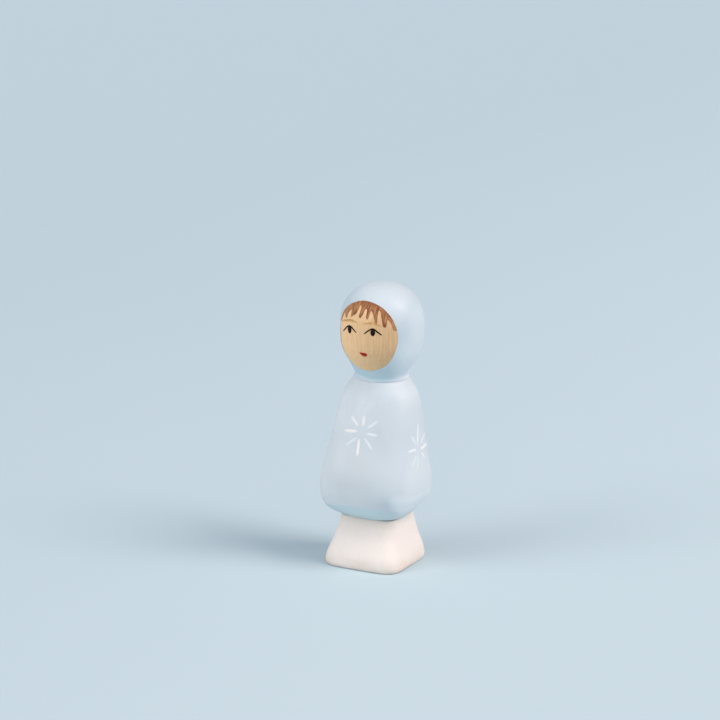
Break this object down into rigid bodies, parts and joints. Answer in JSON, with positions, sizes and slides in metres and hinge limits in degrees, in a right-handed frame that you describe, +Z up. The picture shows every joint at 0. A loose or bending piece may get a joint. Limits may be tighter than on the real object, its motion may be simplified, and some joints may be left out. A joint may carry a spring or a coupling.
{
  "type": "peg doll",
  "caption": "Carved wooden child figure in a pale blue hooded coat with painted snowflakes, bare wood face, on a flared white base.",
  "frame": {"origin": "middle of the bounding box in plan, on the flat underside of the base", "axes": "+Z up, the face and the front snowflake look along -Y, the figure's own left side at +X"},
  "size_m": [0.0306, 0.0266, 0.08],
  "materials": {
    "base_paint": "wood under thin warm white paint, satin",
    "coat_paint": "wood under pale blue paint, satin",
    "bare_wood": "bare fine-grained wood, lightly oiled",
    "hood_paint": "layer of ground and pale blue paint, satin",
    "dowel_wood": "bare fluted hardwood",
    "hair_stain": "brown brushed stain, matt",
    "eye_paint": "near black paint, satin",
    "brow_stain": "thin tan brown stain, matt",
    "lip_paint": "red paint, matt",
    "snow_paint": "white brushed paint, satin"
  },
  "bodies": {
    "root": {"base": "base_paint", "coat": "coat_paint", "head": "bare_wood", "hood": "hood_paint", "hem_dowel": "dowel_wood", "neck_dowel": "dowel_wood", "fringe": "hair_stain", "left_eye": "eye_paint", "right_eye": "eye_paint", "left_brow": "brow_stain", "right_brow": "brow_stain", "mouth": "lip_paint", "front_snowflake": "snow_paint", "left_snowflake": "snow_paint", "right_snowflake": "snow_paint", "back_snowflake": "snow_paint"}
  },
  "joints": []
}
